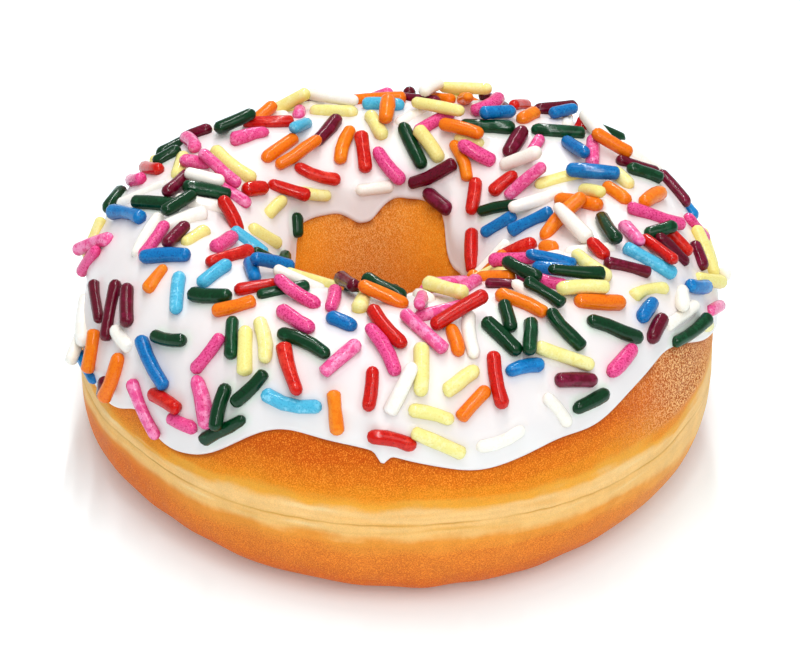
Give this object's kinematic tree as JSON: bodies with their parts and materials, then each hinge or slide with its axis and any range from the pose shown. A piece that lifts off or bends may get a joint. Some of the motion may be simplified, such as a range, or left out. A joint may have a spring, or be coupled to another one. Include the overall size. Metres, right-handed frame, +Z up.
{
  "type": "sprinkle frosted doughnut",
  "caption": "Ring doughnut of browned dough with a pale band round its side, a coat of dripping white icing and a scatter of coloured sprinkles.",
  "frame": {"origin": "Under the middle of the doughnut's bounding box, on the surface that it stands on.", "axes": "+Z up through the hole, -Y towards the front with the long low drip at its left, +X to the right seen from the front."},
  "size_m": [0.0954, 0.0915, 0.0405],
  "materials": {
    "baked_dough": "baked golden brown crust, paler in a band round the side",
    "white_icing": "smooth glossy white icing",
    "green_sugar": "glazed dark green",
    "blue_sugar": "glazed blue",
    "sky_sugar": "glazed sky blue",
    "pink_sugar": "glazed pink",
    "red_sugar": "glazed red",
    "orange_sugar": "glazed orange",
    "yellow_sugar": "glazed pale yellow",
    "white_sugar": "glazed cream white",
    "plum_sugar": "glazed dark plum"
  },
  "bodies": {
    "root": {"dough": "baked_dough", "icing": "white_icing"}
  },
  "joints": []
}
